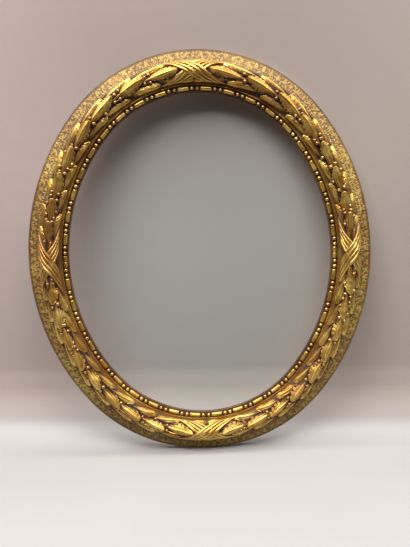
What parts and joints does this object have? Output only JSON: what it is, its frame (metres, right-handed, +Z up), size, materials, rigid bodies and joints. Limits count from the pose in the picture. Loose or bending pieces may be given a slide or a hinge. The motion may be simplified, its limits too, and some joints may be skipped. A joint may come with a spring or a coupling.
{
  "type": "oval picture frame",
  "caption": "Oval gilt picture frame with a laurel-leaf garland, crossed reeded ribbons, a bead-and-bar sight edge, turn buttons and a swinging hanging ring behind.",
  "frame": {"origin": "middle of the oval, half way between the frontmost ribbon and the rearmost point of the hanger", "axes": "+Z up the oval's long axis, +X to the right seen from the front, the carved front faces -Y and the back faces +Y"},
  "size_m": [0.64, 0.0528, 0.748],
  "materials": {
    "gilding": "carved wood, water-gilt over red bole, bright on the high places and brown in the hollows",
    "back_wood": "plain aged pine, unfinished, with saw marks",
    "key_wood": "darker hardwood, planed flush",
    "brass": "aged brass, dulled, rubbed bright at the edges",
    "screw_steel": "round-headed steel, dulled"
  },
  "bodies": {
    "frame": {"back_rail_top": "back_wood", "back_rail_right": "back_wood", "back_rail_bottom": "back_wood", "back_rail_left": "back_wood", "garland_top_right": "gilding", "garland_bottom_right": "gilding", "garland_bottom_left": "gilding", "garland_top_left": "gilding", "bead_strip_top_right": "gilding", "bead_strip_bottom_right": "gilding", "bead_strip_bottom_left": "gilding", "bead_strip_top_left": "gilding", "ribbon_top": "gilding", "ribbon_right": "gilding", "ribbon_bottom": "gilding", "ribbon_left": "gilding", "joint_key_top_right": "key_wood", "joint_key_bottom_right": "key_wood", "joint_key_bottom_left": "key_wood", "joint_key_top_left": "key_wood", "strap_hanger": "brass", "hanger_screws": "screw_steel", "pivot_screws": "screw_steel"},
    "ring": {"hanging_ring": "brass"},
    "button_top_right": {"turn_button_top_right": "brass"},
    "button_bottom_right": {"turn_button_bottom_right": "brass"},
    "button_bottom_left": {"turn_button_bottom_left": "brass"},
    "button_top_left": {"turn_button_top_left": "brass"}
  },
  "joints": [
    {"name": "ring_swing", "type": "hinge", "parent": "frame", "child": "ring", "pos_m": [0, 0.02388, 0.359], "axis": [1, 0, 0], "range_deg": [0, 180]},
    {"name": "button_top_right_turn", "type": "hinge", "parent": "frame", "child": "button_top_right", "pos_m": [0.10103, 0.02127, 0.29118], "axis": [0, 1, 0], "continuous": true},
    {"name": "button_bottom_right_turn", "type": "hinge", "parent": "frame", "child": "button_bottom_right", "pos_m": [0.10103, 0.02127, -0.29118], "axis": [0, 1, 0], "continuous": true},
    {"name": "button_bottom_left_turn", "type": "hinge", "parent": "frame", "child": "button_bottom_left", "pos_m": [-0.10103, 0.02127, -0.29118], "axis": [0, 1, 0], "continuous": true},
    {"name": "button_top_left_turn", "type": "hinge", "parent": "frame", "child": "button_top_left", "pos_m": [-0.10103, 0.02127, 0.29118], "axis": [0, 1, 0], "continuous": true}
  ]
}
